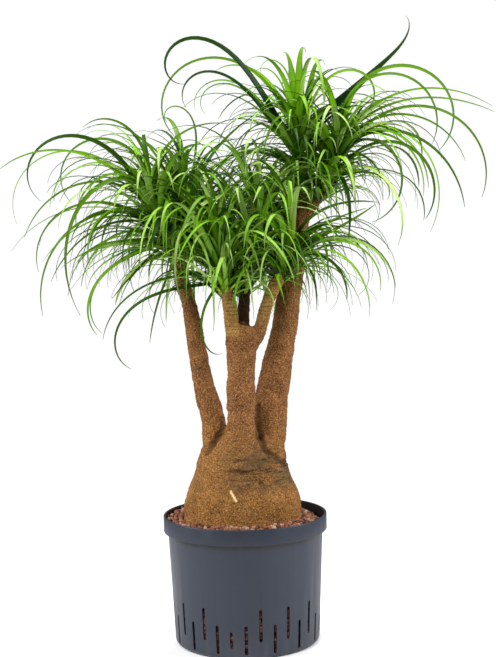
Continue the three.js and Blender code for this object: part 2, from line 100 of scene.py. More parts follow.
# Clay granules
clay_level = 0.292
clay_lean = 0.011
clay_front = -0.003
clay_heap = 0.011
granule_sizes = (0.0085, 0.0155)
granule_breadths = (0.86, 1.02)
granule_heights = (0.78, 0.90)
granule_dents = 0.075
granule_kinds = 5
granule_seed = 7
granule_stray = 0.002
granule_sink_share = 0.34
small_bias = 1.4
full_turn = 6.283
bed_sink = 0.007
bed_wall_gap = 0.013
bed_clearance = 0.0004
hole_margin = 0.0012
hole_rings = 4
touching = 1e-5

# Rings of granules on the bed: where the innermost may lie, how near to the wood as a share of
# its half width, and the first ring, the step, the stray and the drop as shares of the pitch
granule_pitch = 0.0105
granule_layers = 2
innermost_ring = 0.118
wood_edge = 1.01
first_ring = 0.55
ring_step = 0.9
ring_stray = 0.3
ring_turn_stray = 0.35
layer_drop = 0.7

# Columns of granules behind the slots, and how deep each kind of slot shades them
slot_granule_pitch = 0.0085
slot_granule_share = 0.6
slot_shades = {"upper": 0.0040, "lower": 0.0100, "short": 0.0075}
slot_shade_shares = (0.4, 1.4)

# Swollen base: height, middle along X, half width along X
base_profile = [
    (0.197, -0.0040, 0.0620),
    (0.207, -0.0040, 0.0920),
    (0.225, -0.0050, 0.1190),
    (0.247, -0.0055, 0.1360),
    (0.273, -0.0055, 0.1420),
    (0.304, -0.0045, 0.1395),
    (0.350, -0.0050, 0.1330),
    (0.395, -0.0050, 0.1160),
    (0.440, -0.0030, 0.1040),
    (0.466, -0.0020, 0.0960),
    (0.483, -0.0010, 0.0780),
    (0.493, 0.0000, 0.0500),
]
base_depth_share = 0.9
base_sides = 96

# Leafy heads: where the leafy part of the stem starts and ends, and how its leaves stand
heads = [
    dict(name="left_outer", foot=(-0.160, 0.034, 0.941), top=(-0.205, 0.012, 1.042),
         radius=0.018, leaves=33, leaf_length=0.330, lowest_rise=14, turn=20),
    dict(name="left_inner", foot=(-0.134, 0.070, 0.918), top=(-0.122, 0.084, 1.020),
         radius=0.018, leaves=33, leaf_length=0.400, lowest_rise=26, turn=75),
    dict(name="middle_left", foot=(-0.035, -0.046, 0.853), top=(-0.052, -0.060, 0.965),
         radius=0.016, leaves=30, leaf_length=0.370, lowest_rise=36, turn=130),
    dict(name="middle_back", foot=(0.014, 0.012, 0.846), top=(0.054, 0.000, 0.972),
         radius=0.0155, leaves=30, leaf_length=0.420, lowest_rise=44, turn=190),
    dict(name="middle_right", foot=(0.102, -0.044, 0.880), top=(0.134, -0.052, 0.972),
         radius=0.017, leaves=30, leaf_length=0.330, lowest_rise=30, turn=245),
    dict(name="right_upper", foot=(0.145, 0.066, 1.090), top=(0.149, 0.076, 1.203),
         radius=0.018, leaves=32, leaf_length=0.310, lowest_rise=30, turn=300),
    dict(name="right_outer", foot=(0.200, 0.049, 1.062), top=(0.251, 0.040, 1.174),
         radius=0.017, leaves=32, leaf_length=0.310, lowest_rise=26, turn=350),
]

# Woody limbs: x, y, z and radius of each station, the head that the limb's end carries, and how
# young its bark grows between which heights
old_bark = (0.12, 0.51, 0.81)
limbs = [
    dict(stations=[(-0.062, 0.026, 0.442, 0.034), (-0.073, 0.036, 0.532, 0.029),
                   (-0.093, 0.042, 0.624, 0.0235), (-0.107, 0.046, 0.713, 0.022),
                   (-0.121, 0.049, 0.801, 0.0185), (-0.138, 0.050, 0.862, 0.0175)],
         head=None, young=old_bark),
    dict(stations=[(-0.132, 0.050, 0.842, 0.015), (-0.145, 0.046, 0.897, 0.016)],
         head=0, young=(0.6, 0.842, 0.912)),
    dict(stations=[(-0.132, 0.050, 0.838, 0.015), (-0.136, 0.060, 0.878, 0.016)],
         head=1, young=(0.6, 0.842, 0.912)),
    dict(stations=[(-0.008, -0.044, 0.430, 0.064), (-0.007, -0.046, 0.464, 0.054),
                   (-0.005, -0.046, 0.502, 0.047), (-0.003, -0.046, 0.545, 0.038),
                   (-0.002, -0.046, 0.632, 0.0325), (0.000, -0.045, 0.680, 0.034),
                   (0.003, -0.043, 0.728, 0.039), (0.006, -0.040, 0.757, 0.030)],
         head=None, young=old_bark),
    dict(stations=[(-0.012, -0.044, 0.702, 0.022), (-0.020, -0.045, 0.757, 0.018),
                   (-0.024, -0.046, 0.807, 0.017)],
         head=2, young=(1.0, 0.726, 0.752)),
    # This limb's bark is kept less young, which darkens it as part of the painted shade behind
    # the fork
    dict(stations=[(0.004, -0.034, 0.702, 0.022), (0.006, -0.008, 0.777, 0.0145)],
         head=3, young=(0.3, 0.702, 0.757)),
    dict(stations=[(0.016, -0.044, 0.702, 0.022), (0.039, -0.044, 0.735, 0.0165),
                   (0.061, -0.044, 0.803, 0.015), (0.080, -0.044, 0.846, 0.016)],
         head=4, young=(1.0, 0.730, 0.800)),
    dict(stations=[(0.056, 0.022, 0.437, 0.038), (0.065, 0.038, 0.531, 0.041),
                   (0.078, 0.046, 0.619, 0.038), (0.097, 0.052, 0.707, 0.0325),
                   (0.112, 0.056, 0.795, 0.0295), (0.130, 0.060, 0.882, 0.0255),
                   (0.147, 0.062, 1.002, 0.021), (0.151, 0.062, 1.022, 0.019)],
         head=None, young=old_bark),
    dict(stations=[(0.147, 0.062, 0.996, 0.017), (0.146, 0.064, 1.047, 0.017)],
         head=5, young=(0.5, 0.997, 1.072)),
    dict(stations=[(0.144, 0.062, 0.987, 0.017), (0.172, 0.056, 1.028, 0.0155)],
         head=6, young=(0.5, 0.997, 1.072)),
]
# Painted shade: the limb to this head, behind the fork, is painted near black-brown from these
# heights up
shaded_limb_head = 3
limb_shade_blend = (0.737, 0.762)

# Bark relief: each noise has its falloff, its step in scale and its octaves
bark_voxel = 0.0029
blend_passes = 9
lump_depth = 0.0030
lump_scale = 22
lump_noise = (0.9, 2.0, 3)
knob_depth = 0.0011
knob_scale = 170
knob_noise = (0.7, 2.1, 3)
grain_depth = 0.0008
grain_scale = 330
young_lump_share = 0.25
young_grain_share = 0.5
ring_pitch = 0.0085
ring_depth = 0.0011
ring_wobble = 0.004
ring_wobble_scale = 30
limb_sample = 0.006

# Folds in the bark: depth, half width, then x and z of the points of their line
carvings = [
    (0.0080, 0.0036, [(-0.041, 0.556), (-0.043, 0.536), (-0.049, 0.506), (-0.066, 0.486),
                      (-0.088, 0.460)]),
    (0.0085, 0.0040, [(0.036, 0.562), (0.036, 0.504), (0.050, 0.470), (0.078, 0.446),
                      (0.098, 0.428)]),
    (0.0050, 0.0026, [(0.098, 0.470), (0.106, 0.440), (0.112, 0.405), (0.124, 0.370)]),
    (0.0016, 0.0016, [(-0.050, 0.448), (-0.020, 0.452), (0.030, 0.446), (0.078, 0.436)]),
    (0.0016, 0.0016, [(-0.020, 0.428), (0.012, 0.424), (0.062, 0.426)]),
    (0.0016, 0.0016, [(-0.024, 0.404), (0.018, 0.400), (0.070, 0.406)]),
    (0.0016, 0.0016, [(-0.018, 0.384), (0.024, 0.380), (0.058, 0.386)]),
]
scar_half_width = 0.0027
scar_line = [(-0.031, 0.380), (-0.020, 0.360)]
scar_core_share = 0.6
# Carving depth at which the folds' painted shade is full
full_cut = 0.006
fold_seed = 2
fold_wobble = 0.003
fold_wobble_scale = 45
front_depth = 0.02
front_top = 0.57

# Bark finish: where the upper bark starts, and the dark stain's foot, top and left side
upper_bark = (0.45, 0.57)
stain_foot = (0.366, 0.396)
stain_top = (0.492, 0.455)
stain_side = (-0.060, 0.010)

# Leaves that stand out from the front: head, height on it, azimuth, rise, bend, curl, length,
# width and tone; the tone runs from near black to pale green, partly painted shade and light
front_leaves = [
    (0, 0.75, 190, 67, 210, 2.0, 0.500, 0.016, 0.03),
    (0, 0.70, 195, 61, 100, 1.3, 0.435, 0.009, 0.3),
    (0, 0.60, 170, 63, 175, 1.6, 0.535, 0.006, 0.3),
    (0, 0.55, 195, 80, 150, 0.8, 0.410, 0.008, 0.2),
    (0, 0.45, 185, 40, 145, 1.4, 0.405, 0.008, 0.15),
    (0, 0.35, 200, 55, 156, 0.8, 0.460, 0.008, 0.18),
    (0, 0.55, 215, 95, 195, 1.0, 0.370, 0.008, 0.3),
    (0, 0.30, 195, 70, 135, 0.5, 0.330, 0.007, 0.1),
    (0, 0.30, 170, 66, 120, 0.55, 0.340, 0.006, 0.24),
    (0, 0.65, 220, 140, 262, 0.5, 0.560, 0.016, 0.15),
    (0, 0.10, 200, -16, 116, 2.2, 0.325, 0.010, 0.36),
    (0, 0.15, 190, -19, 120, 2.2, 0.320, 0.007, 0.18),
    (0, 0.20, 170, -17, 64, 3.0, 0.235, 0.006, 0.24),
    (0, 0.10, 225, -30, 10, 1.0, 0.210, 0.007, 0.05),
    (0, 0.85, 160, 93, 134, 1.9, 0.335, 0.010, 0.1),
    (0, 0.80, 175, 95, 230, 1.4, 0.450, 0.009, 0.15),
    (0, 0.85, 145, 85, 118, 1.8, 0.260, 0.008, 0.18),
    (0, 0.60, 160, 80, 157, 1.2, 0.385, 0.005, 0.3),
    (0, 0.20, 185, -2, 90, 4.0, 0.235, 0.007, 0.2),
    (0, 0.40, 200, 34, 120, 1.8, 0.265, 0.007, 0.1),
    (0, 0.60, 185, 62, 83, 2.4, 0.260, 0.020, 1.0),
    (0, 0.20, 220, 25, 105, 1.2, 0.300, 0.008, 0.24),
    (0, 0.35, 225, 51, 146, 1.2, 0.315, 0.008, 0.3),
    (0, 0.90, 5, 105, 115, 1.0, 0.310, 0.009, 0.15),
    (0, 0.03, 185, 12, 50, 1.2, 0.260, 0.015, 0.95),
    (1, 0.05, 220, -50, 30, 1.0, 0.230, 0.007, 0.1),
    (1, 0.30, 255, 10, 95, 0.6, 0.250, 0.009, 0.85),
    (1, 0.90, 190, 102, 243, 5.0, 0.340, 0.008, 0.25),
    (1, 0.60, 290, 125, 190, 0.9, 0.325, 0.010, 0.9),
    (1, 0.90, 350, 85, 55, 0.8, 0.300, 0.012, 0.05),
    (1, 0.03, 215, 5, 80, 1.2, 0.230, 0.014, 0.9),
    (2, 0.06, 230, -30, 160, 1.6, 0.240, 0.007, 0.1),
    (2, 0.25, 195, 2, 82, 1.8, 0.340, 0.007, 0.05),
    (2, 0.06, 195, -4, 150, 2.6, 0.385, 0.009, 0.05),
    (2, 0.70, 235, 85, 200, 1.0, 0.280, 0.009, 0.85),
    (2, 0.80, 230, 100, 66, 1.3, 0.140, 0.020, 1.0),
    (3, 0.80, 195, 78, 57, 0.7, 0.370, 0.009, 0.1),
    (3, 0.80, 215, 150, 262, 0.55, 0.480, 0.012, 1.0),
    (3, 0.80, 270, 82, 110, 3.0, 0.250, 0.022, 0.95),
    (3, 0.90, 255, 103, 228, 2.5, 0.375, 0.012, 1.0),
    (4, 0.80, 210, 86, 166, 3.0, 0.270, 0.022, 0.9),
    (4, 0.80, 355, 92, 102, 0.5, 0.225, 0.009, 0.1),
    (4, 0.60, 350, 21, -14, 1.3, 0.215, 0.010, 0.24),
    (4, 0.70, 10, 47, 34, 0.5, 0.190, 0.007, 0.3),
    (4, 0.45, 355, 32, 119, 1.3, 0.305, 0.010, 0.75),
    (4, 0.40, 5, 35, 136, 1.3, 0.290, 0.008, 0.42),
    (4, 0.15, 335, 60, 158, 0.8, 0.220, 0.010, 0.05),
    (5, 0.55, 200, 60, 262, 3.7, 0.565, 0.023, 0.0),
    (5, 0.45, 205, 54, 183, 3.6, 0.435, 0.020, 0.0),
    (5, 0.60, 185, 77, 222, 1.7, 0.595, 0.009, 0.2),
    (5, 0.70, 160, 75, 107, 2.1, 0.320, 0.010, 0.36),
    (5, 0.40, 170, 63, 173, 3.0, 0.385, 0.007, 0.3),
    (5, 0.42, 175, 60, 198, 3.5, 0.365, 0.007, 0.18),
    (5, 0.85, 115, 80, 90, 8.0, 0.230, 0.033, 0.3),
    (5, 0.90, 100, 77, 290, 5.0, 0.255, 0.012, 1.0),
    (5, 0.95, 70, 89, 170, 7.0, 0.242, 0.033, 0.3),
    (5, 0.90, 280, 88, 178, 1.3, 0.440, 0.0145, 0.8),
    (5, 0.85, 50, 72, 180, 9.0, 0.235, 0.026, 0.2),
    (5, 0.70, 300, 65, 221, 5.0, 0.205, 0.023, 1.0),
    (5, 0.60, 335, 80, 215, 2.3, 0.370, 0.012, 0.3),
    (5, 0.95, 350, 39, -95, 10.0, 0.385, 0.028, 0.0),
    (5, 0.80, 150, 86, 215, 4.2, 0.275, 0.006, 0.3),
    (5, 0.70, 145, 78, 120, 3.9, 0.250, 0.006, 0.3),
    (6, 0.81, 355, 98, 235, 1.25, 0.555, 0.012, 0.2),
    (6, 0.85, 340, 108, 226, 1.1, 0.475, 0.010, 0.2),
    (6, 0.69, 345, 99, 125, 0.5, 0.430, 0.008, 0.24),
    (6, 0.73, 10, 86, 118, 0.7, 0.455, 0.007, 0.3),
    (6, 0.62, 340, 60, 172, 1.25, 0.545, 0.009, 0.18),
    (6, 0.54, 355, 81, 152, 0.9, 0.405, 0.008, 0.21),
    (6, 0.46, 335, 83, 166, 0.7, 0.450, 0.010, 0.1),
    (6, 0.35, 325, 44, 176, 1.5, 0.425, 0.011, 0.1),
    (6, 0.58, 5, 112, 230, 0.6, 0.480, 0.008, 0.36),
    (6, 0.50, 335, 87, 186, 0.8, 0.350, 0.008, 0.45),
    (6, 0.56, 330, 84, 174, 0.8, 0.350, 0.009, 0.4),
    (6, 0.31, 310, 68, 129, 0.9, 0.205, 0.009, 0.05),
    (6, 0.28, 325, 10, 137, 3.2, 0.200, 0.007, 0.2),
    (6, 0.62, 335, 80, 244, 0.8, 0.370, 0.008, 0.18),
    (6, 0.62, 335, 71, 67, 1.3, 0.225, 0.025, 1.0),
    (6, 0.46, 330, 64, 89, 1.5, 0.220, 0.024, 1.0),
    (6, 0.50, 310, 76, 60, 1.5, 0.190, 0.026, 1.0),
]

# Leaf blade
leaf_width = 0.0165
widest = 0.14
root_share = 0.66
root_groove = 0.42
tip_groove = 0.12
blade_thickness = 0.0010
keel_shares = (1.3, 0.5)
least_keel = 0.0005
least_half_width = 0.0005
fine_steps = 60
station_halvings = 24
blade_segments = 14
front_segments = 30
broad_leaf = 0.015
broad_thinning = 0.85
front_thinning = 0.5
front_roll = 65
front_twist = 8

# Leaf rules: pairs run from a head's lowest leaf to its youngest or, for curl, length and width,
# from the least to the most; azimuth, rise, bend, swing and twist are how far a leaf may stray
golden_angle = 137.508
core_top_share = 0.35
root_depth_share = 0.55
main_rule = dict(
    heights=(0.12, 0.96), lift=0, young_rise=78, rise_power=0.8, bends=(125, 130),
    curls=(1.1, 2.3), lengths=(0.82, 1.18), young_length=0.85, widths=(0.85, 1.15),
    thinning=0.62, azimuth=12, rise=10, bend=30, swing=30, twist=16)
fill_rule = dict(
    heights=(-0.25, 0.96), lift=-4, young_rise=84, rise_power=0.9, bends=(140, 140),
    curls=(0.9, 2.1), lengths=(0.42, 0.92), young_length=1, widths=(0.52, 0.86),
    thinning=broad_thinning, azimuth=30, rise=14, bend=45, swing=45, twist=40)
# Random leaf tones lean dark by this power, which deepens the painted shade in the crown
tone_fall = 1.7
fill_leaves = 125
fill_tries = 14
fill_turn = 0.37
front_seed = 5000
leaf_seed = 1000
fill_seed = 50000

# Where a fill leaf may hang, and the stretch of the right trunk that shows
fill_sink = 0.090
free_from = 0.14
wood_clearance = 0.005
side_room = 0.006
shown_wood = (0.146, 0.996)
shown_reach = 0.021
shown_depth = 0.03

# Leafy stems: share of the way up and share of the head's radius
stem_profile = [(0.004, 0.96), (0.35, 0.9), (0.75, 0.6), (1.0, 0.3)]
stem_inset = 0.001

# Light and floor
room_light = 0.34
light_size = 1.6
light_aim = (0, 0, 0.75)
lights = [
    ("left_light", (-2.8, -0.6, 2.0), 118),
    ("right_light", (2.8, -0.6, 2.0), 118),
    ("front_light", (-0.8, -3.0, 3.0), 78),
    ("top_light", (0.2, 0.8, 3.6), 90),
]
floor_radius = 60
floor_drop = 0.0005
floor_fade = (0.35, 2.2)

# Camera, at the photograph's viewing angle
camera_place = (0.0170, -4.0, 1.155)
camera_pitch = -5.84
camera_roll = -1.3
camera_lens = 94.0


# Modelling by hand

def deselect():
    bpy.ops.object.select_all(action="DESELECT")


def pick(piece):
    deselect()
    piece.select_set(True)
    bpy.context.view_layer.objects.active = piece


def new_piece(name):
    piece = bpy.context.active_object
    piece.name = name
    piece.data.name = name
    bpy.ops.object.transform_apply(location=True, rotation=True, scale=True)
    return piece


def edit(piece):
    pick(piece)
    bpy.ops.object.mode_set(mode="EDIT")
    bpy.ops.mesh.select_all(action="SELECT")


def leave_edit():
    bpy.ops.object.mode_set(mode="OBJECT")


def finish(piece, kind, **settings):
    pick(piece)
    modifier = piece.modifiers.new(kind.lower(), kind)
    for key, value in settings.items():
        setattr(modifier, key, value)
    bpy.ops.object.modifier_apply(modifier=modifier.name)


def join(pieces, name):
    pick(pieces[0])
    for piece in pieces[1:]:
        piece.select_set(True)
    bpy.ops.object.join()
    return new_piece(name)


def face_outwards(piece):
    edit(piece)
    bpy.ops.mesh.remove_doubles(threshold=1e-6)
    bpy.ops.mesh.normals_make_consistent(inside=False)
    leave_edit()


def smooth(piece, angle=35):
    pick(piece)
    bpy.ops.object.shade_smooth_by_angle(angle=math.radians(angle))


def mix(low, high, share):
    return low + (high - low) * share


def smoothstep(low, high, value):
    share = min(max((value - low) / (high - low), 0), 1)
    return share * share * (3 - 2 * share)


def front_angle(degrees):
    return math.radians(degrees - 90)


def turned(name, profile, sides):
    """A disc drawn up through the profile's rings, closed at both ends."""
    deselect()
    start, height = profile[0]
    bpy.ops.mesh.primitive_circle_add(
        vertices=sides, radius=start, fill_type="NGON", location=(0, 0, height))
    piece = new_piece(name)
    edit(piece)
    for (radius, height), (next_radius, next_height) in zip(profile, profile[1:]):
        grow = next_radius / radius
        bpy.ops.mesh.extrude_region_move(
            TRANSFORM_OT_translate={"value": (0, 0, next_height - height)})
        bpy.ops.transform.resize(value=(grow, grow, 1), center_override=(0, 0, next_height))
    leave_edit()
    face_outwards(piece)
    return piece


def draws(seed):
    state = seed & 0xFFFFFFFF
    while True:
        state = (state + 0x6D2B79F5) & 0xFFFFFFFF
        bits = ((state ^ (state >> 15)) * (state | 1)) & 0xFFFFFFFF
        bits = (bits ^ (bits + (((bits ^ (bits >> 7)) * (bits | 61)) & 0xFFFFFFFF))) & 0xFFFFFFFF
        yield (bits ^ (bits >> 14)) / 4294967296


def spread(draw, reach):
    return (2 * next(draw) - 1) * reach


# Pot

def inner_radius(height):
    share = (height - foot_round) / (band_low - foot_round)
    return mix(body_foot_radius, body_top_radius, share) - wall


def pot_profile():
    outside = [(body_foot_radius - foot_round, 0)]
    for step in range(1, foot_steps + 1):
        turn = math.radians(90 / foot_steps * step)
        outside.append((body_foot_radius - foot_round * (1 - math.sin(turn)),
                        foot_round * (1 - math.cos(turn))))
    outside += [(body_top_radius, band_low), (rim_radius, band_low), (rim_radius, pot_height)]
    inside = [
        (rim_inner_radius, pot_height),
        (rim_inner_radius, band_low + wall),
        (inner_radius(band_low), band_low),
        (inner_radius(foot_round), foot_round),
        (body_foot_radius - foot_round, wall),
    ]
    return outside + inside


def slot_cutter(kind):
    low, high = slot_kinds[kind]
    deselect()
    bpy.ops.mesh.primitive_cube_add(
        size=1, location=(body_foot_radius - slot_inset + slot_depth / 2, 0, (low + high) / 2),
        scale=(slot_depth, slot_width, high - low))
    cutter = new_piece("slot_" + kind)
    edit(cutter)
    bpy.ops.mesh.select_mode(type="EDGE")
    bpy.ops.mesh.select_all(action="DESELECT")
    leave_edit()
    for side_edge in cutter.data.edges:
        ends = [cutter.data.vertices[index].co for index in side_edge.vertices]
        side_edge.select = abs(ends[0].x - ends[1].x) > slot_depth / 2
    bpy.ops.object.mode_set(mode="EDIT")
    bpy.ops.mesh.bevel(offset=slot_width * slot_end_share, segments=4)
    leave_edit()
    return cutter


def slot_angles():
    for slot in range(round(360 / slot_pitch)):
        is_short = slot % short_slot_every == short_slot_every - 1
        yield first_upper_slot + slot_pitch * slot, "short" if is_short else "upper"
        yield first_lower_slot + slot_pitch * slot, "lower"


def turned_copy(original, degrees):
    copy = original.copy()
    copy.data = original.data.copy()
    bpy.context.collection.objects.link(copy)
    copy.data.transform(Matrix.Rotation(front_angle(degrees), 4, "Z"))
    return copy


def make_pot():
    pot = turned("culture_pot", pot_profile(), pot_sides)
    finish(pot, "BEVEL", width=edge_round, segments=3, limit_method="ANGLE",
           angle_limit=math.radians(40))
    cutters = {kind: slot_cutter(kind) for kind in slot_kinds}
    placed = [turned_copy(cutters[kind], degrees) for degrees, kind in slot_angles()]
    for cutter in cutters.values():
        bpy.data.objects.remove(cutter)
    slots = join(placed, "slots")
    finish(pot, "BOOLEAN", operation="DIFFERENCE", object=slots, solver="EXACT")
    bpy.data.objects.remove(slots)
    smooth(pot)
    return pot


# Clay granules

def clay_surface(angle):
    return clay_level - clay_lean * math.cos(angle) - clay_front * math.sin(angle)


def base_section(height):
    if height <= base_profile[0][0]:
        return base_profile[0][1:]
    for lower, upper in zip(base_profile, base_profile[1:]):
        if height <= upper[0]:
            share = (height - lower[0]) / (upper[0] - lower[0])
            return mix(lower[1], upper[1], share), mix(lower[2], upper[2], share)
    return base_profile[-1][1:]


def base_point(angle, height, margin=0.0):
    middle, half = base_section(height)
    return Vector((middle + (half + margin) * math.cos(angle),
                   (half * base_depth_share + margin) * math.sin(angle), height))


def make_clay_bed():
    floor = wall + bed_clearance
    hole_floor = base_profile[0][0] - bed_clearance
    hole_heights = [height for height, _, _ in base_profile[hole_rings:0:-1]] + [hole_floor]
    edge = clay_level - bed_sink
    profile = [
        (body_foot_radius - foot_round - wall, floor),
        (inner_radius(foot_round) - bed_wall_gap, foot_round),
        (inner_radius(edge) - bed_wall_gap, edge),
    ]
    profile += [(base_section(height)[1] + hole_margin, height) for height in hole_heights]
    hole_radius = base_section(hole_heights[0])[1] + hole_margin
    bed = turned("clay_bed", profile, base_sides)
    for vertex in bed.data.vertices:
        angle = math.atan2(vertex.co.y, vertex.co.x)
        in_hole = vertex.co.xy.length < hole_radius + touching
        if vertex.co.z > edge - touching:
            vertex.co.z = clay_surface(angle) - bed_sink
        elif vertex.co.z > hole_floor - touching and in_hole:
            vertex.co = base_point(angle, vertex.co.z, hole_margin)
    smooth(bed)
    return bed


def granule_shapes():
    shapes = []
    for kind in range(granule_kinds):
        deselect()
        bpy.ops.mesh.primitive_ico_sphere_add(subdivisions=2, radius=0.5)
        shape = new_piece("granule_shape")
        edit(shape)
        bpy.ops.transform.vertex_random(offset=granule_dents, uniform=0.4, seed=kind + 3)
        leave_edit()
        share = kind / (granule_kinds - 1)
        shape.data.transform(Matrix.Diagonal(
            (1, mix(*granule_breadths, share), mix(*granule_heights, share), 1)))
        shapes.append(shape)
    return shapes


def ring_granules(draw):
    """Middle and size of each granule of the rings that lie on the bed."""
    middle, half = base_section(clay_level)
    for layer in range(granule_layers):
        radius = rim_inner_radius - granule_pitch * first_ring
        while radius > innermost_ring:
            count = int(2 * math.pi * radius / granule_pitch)
            for number in range(count):
                angle = (2 * math.pi * number + spread(draw, ring_turn_stray)) / count
                place = radius + spread(draw, granule_pitch * ring_stray)
                size = mix(*granule_sizes, next(draw) ** small_bias)
                point = Vector((place * math.cos(angle), place * math.sin(angle), 0))
                inside = Vector(((point.x - middle) / half, point.y / (half * base_depth_share)))
                if place + size / 2 > rim_inner_radius or inside.length < wood_edge:
                    continue
                share = smoothstep(rim_inner_radius, half, place)
                point.z = mix(clay_surface(angle), clay_level + clay_heap, share)
                point.z += spread(draw, granule_stray) - size * granule_sink_share
                point.z -= layer * granule_pitch * layer_drop
                yield point, size
            radius -= granule_pitch * ring_step


def slot_granules(draw):
    """Middle and size of each granule of the columns behind the slots."""
    for degrees, kind in slot_angles():
        low, high = slot_kinds[kind]
        height = max(low, foot_round) - granule_stray
        while height < high + 2 * granule_stray:
            for side in (-1, 0, 1):
                size = mix(*granule_sizes, next(draw) * slot_granule_share)
                shade = slot_shades[kind] * mix(*slot_shade_shares, next(draw))
                place = inner_radius(height) - size / 2 - shade
                aside = side * slot_granule_pitch + spread(draw, granule_stray)
                angle = front_angle(degrees) + aside / place
                yield Vector((place * math.cos(angle), place * math.sin(angle),
                              height + spread(draw, granule_stray))), size
            height += slot_granule_pitch


def gathered(name, copies):
    """One mesh of (points, faces, {attribute: value a point}) copies."""
    points, faces, values = [], [], {}
    for own_points, own_faces, own_values in copies:
        start = len(points)
        points += own_points
        faces += [[start + index for index in face] for face in own_faces]
        for key, value in own_values.items():
            values.setdefault(key, []).extend(value)
    mesh = bpy.data.meshes.new(name)
    mesh.from_pydata(points, [], faces)
    for key, value in values.items():
        mesh.attributes.new(key, "FLOAT", "POINT").data.foreach_set("value", value)
    piece = bpy.data.objects.new(name, mesh)
    bpy.context.collection.objects.link(piece)
    return piece


def shape_of(piece):
    points = [vertex.co.copy() for vertex in piece.data.vertices]
    faces = [list(polygon.vertices) for polygon in piece.data.polygons]
    bpy.data.objects.remove(piece)
    return points, faces


def make_granules():
    draw = draws(granule_seed)
    shapes = [shape_of(shape) for shape in granule_shapes()]
    copies = []
    for place, size in chain(ring_granules(draw), slot_granules(draw)):
        points, faces = shapes[int(next(draw) * len(shapes))]
        turn = Matrix.Rotation(next(draw) * full_turn, 3, "X")
        turn = turn @ Matrix.Rotation(next(draw) * full_turn, 3, "Z")
        tone = next(draw)
        copies.append(([place + turn @ (point * size) for point in points], faces,
                       {"tone": [tone] * len(points)}))
    granules = gathered("loose_granules", copies)
    smooth(granules, 50)
    return granules


# Trunk

def on_curve(stations, spacing):
    """Points of a smooth curve through the stations, each x, y, z, radius."""
    ends = [2 * stations[0] - stations[1]] + stations + [2 * stations[-1] - stations[-2]]
    curve = []
    for before, start, stop, after in zip(ends, ends[1:], ends[2:], ends[3:]):
        steps = max(2, round((stop - start).xyz.length / spacing))
        for step in range(steps):
            t = step / steps
            curve.append(0.5 * (2 * start + (stop - before) * t
                                + (2 * before - 5 * start + 4 * stop - after) * t * t
                                + (3 * start - before - 3 * stop + after) * t ** 3))
    return curve + [stations[-1]]


def limb_curve(limb):
    stations = [Vector(station) for station in limb["stations"]]
    if limb["head"] is not None:
        head = heads[limb["head"]]
        stations.append(Vector((*head["foot"], head["radius"] - stem_inset)))
    return on_curve(stations, limb_sample)


def tree_of(points):
    tree = kdtree.KDTree(len(points))
    for index, point in enumerate(points):
        tree.insert(point.xyz, index)
    tree.balance()
    return tree


def make_limb(curve):
    deselect()
    bpy.ops.curve.primitive_nurbs_path_add()
    limb = bpy.context.active_object
    limb.data.splines.clear()
    line = limb.data.splines.new("POLY")
    line.points.add(len(curve) - 1)
    for point, station in zip(line.points, curve):
        point.co = (*station.xyz, 1)
        point.radius = station.w
    limb.data.bevel_depth = 1
    limb.data.bevel_resolution = 6
    limb.data.use_fill_caps = True
    limb.data.use_path = False
    bpy.ops.object.convert(target="MESH")
    return new_piece("limb")


def make_base():
    stations = [Vector((0, middle, height, half)) for height, middle, half in base_profile]
    rings = on_curve(stations, limb_sample)
    base = turned("base", [(ring.w, ring.z) for ring in rings], base_sides)
    middles = {round(ring.z, 6): ring.y for ring in rings}
    for vertex in base.data.vertices:
        nearest = min(middles, key=lambda height: abs(height - vertex.co.z))
        vertex.co.y *= base_depth_share
        vertex.co.x += middles[nearest]
    return base


def make_trunk():
    curves = [limb_curve(limb) for limb in limbs]
    trunk = join([make_base()] + [make_limb(curve) for curve in curves], "bark_trunk")
    finish(trunk, "REMESH", mode="VOXEL", voxel_size=bark_voxel)
    finish(trunk, "SMOOTH", factor=0.5, iterations=blend_passes)
    relief(trunk, curves)
    smooth(trunk, 180)
    return trunk


def relief(trunk, curves):
    """Corky lumps all over, and the rings that shed leaves left round the younger wood."""
    noise.seed_set(fold_seed)
    samples = [(point, limb) for limb, curve in zip(limbs, curves) for point in curve]
    tree = tree_of([point for point, _ in samples])
    mesh = trunk.data
    normals = [vertex.normal.copy() for vertex in mesh.vertices]
    looks = {"youth": [], "ring": [], "cut": [], "scar": [], "limb_shade": []}
    for vertex, normal in zip(mesh.vertices, normals):
        place = vertex.co.copy()
        limb = samples[tree.find(place)[1]][1]
        amount, low, high = limb["young"]
        young = amount * smoothstep(low, high, place.z)
        wave = (place.z + noise.noise(place * ring_wobble_scale) * ring_wobble) / ring_pitch
        groove = max(0, math.sin(2 * math.pi * wave)) ** 4
        lumps = lump_depth * noise.fractal(place * lump_scale, *lump_noise)
        knobs = knob_depth * noise.fractal(place * knob_scale, *knob_noise)
        grain = grain_depth * noise.noise(place * grain_scale)
        rise = lumps * mix(1, young_lump_share, young)
        rise += (knobs + grain) * mix(1, young_grain_share, young) - ring_depth * groove * young
        carved = carving(place)
        vertex.co = place + normal * (rise - carved)
        is_shaded_limb = limb["head"] == shaded_limb_head
        looks["youth"].append(young)
        looks["ring"].append(groove)
        looks["cut"].append(min(carved / full_cut, 1))
        looks["scar"].append(scar_share(vertex.co))
        looks["limb_shade"].append(smoothstep(*limb_shade_blend, vertex.co.z) if is_shaded_limb else 0.0)
    for name, values in looks.items():
        mesh.attributes.new(name, "FLOAT", "POINT").data.foreach_set("value", values)


def line_distance(place, line):
    """How far a place on the plant's front lies from a line seen from the front."""
    nearest = 1.0
    here = Vector((place.x, place.z))
    for start, stop in zip(line, line[1:]):
        start, stop = Vector(start), Vector(stop)
        way = stop - start
        share = min(max((here - start).dot(way) / way.length_squared, 0), 1)
        nearest = min(nearest, (here - start - way * share).length)
    return nearest


